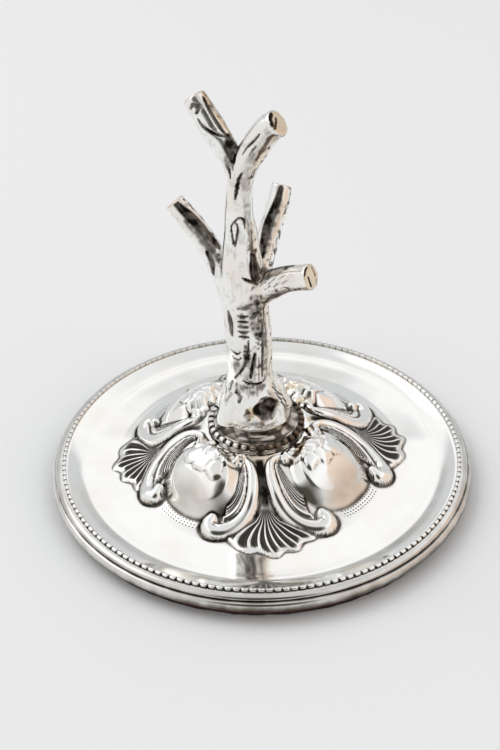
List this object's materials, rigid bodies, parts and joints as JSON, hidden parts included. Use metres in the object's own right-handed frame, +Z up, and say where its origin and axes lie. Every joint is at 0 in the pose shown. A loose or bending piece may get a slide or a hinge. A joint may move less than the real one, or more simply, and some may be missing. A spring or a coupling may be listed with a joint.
{
  "type": "ring tree",
  "caption": "Small silver tree with lopped branches on a round embossed foot with a beaded edge, for hanging finger rings.",
  "frame": {"origin": "centre of the foot's underside", "axes": "+Z up through the tree; the fans of the embossed foot point along X and Y, the lowest front branch leans to +X and -Y"},
  "size_m": [0.09, 0.09, 0.0861],
  "materials": {
    "embossed_silver": "mirror-polished silver sheet, embossed, darkened by tarnish in the recesses",
    "beaded_silver": "polished silver bead wire, dark between the beads",
    "collar_silver": "turned and polished silver, dulled and brownish in the neck",
    "cast_silver": "cast and chased silver, polished on the high places and oxidised in the bark grooves",
    "pitch_filling": "poured pitch and plaster, matt",
    "stained_board": "red-brown stained close-grained board, worn at the edge",
    "pad_cloth": "dark baize, pressed flat",
    "brass_fastening": "turned brass, plain"
  },
  "bodies": {
    "root": {"base_shell": "embossed_silver", "bead_border": "beaded_silver", "collar": "collar_silver", "tree": "cast_silver", "filling": "pitch_filling", "backing_board": "stained_board", "base_pad": "pad_cloth", "stud": "brass_fastening", "washer": "brass_fastening", "nut": "brass_fastening"}
  },
  "joints": []
}
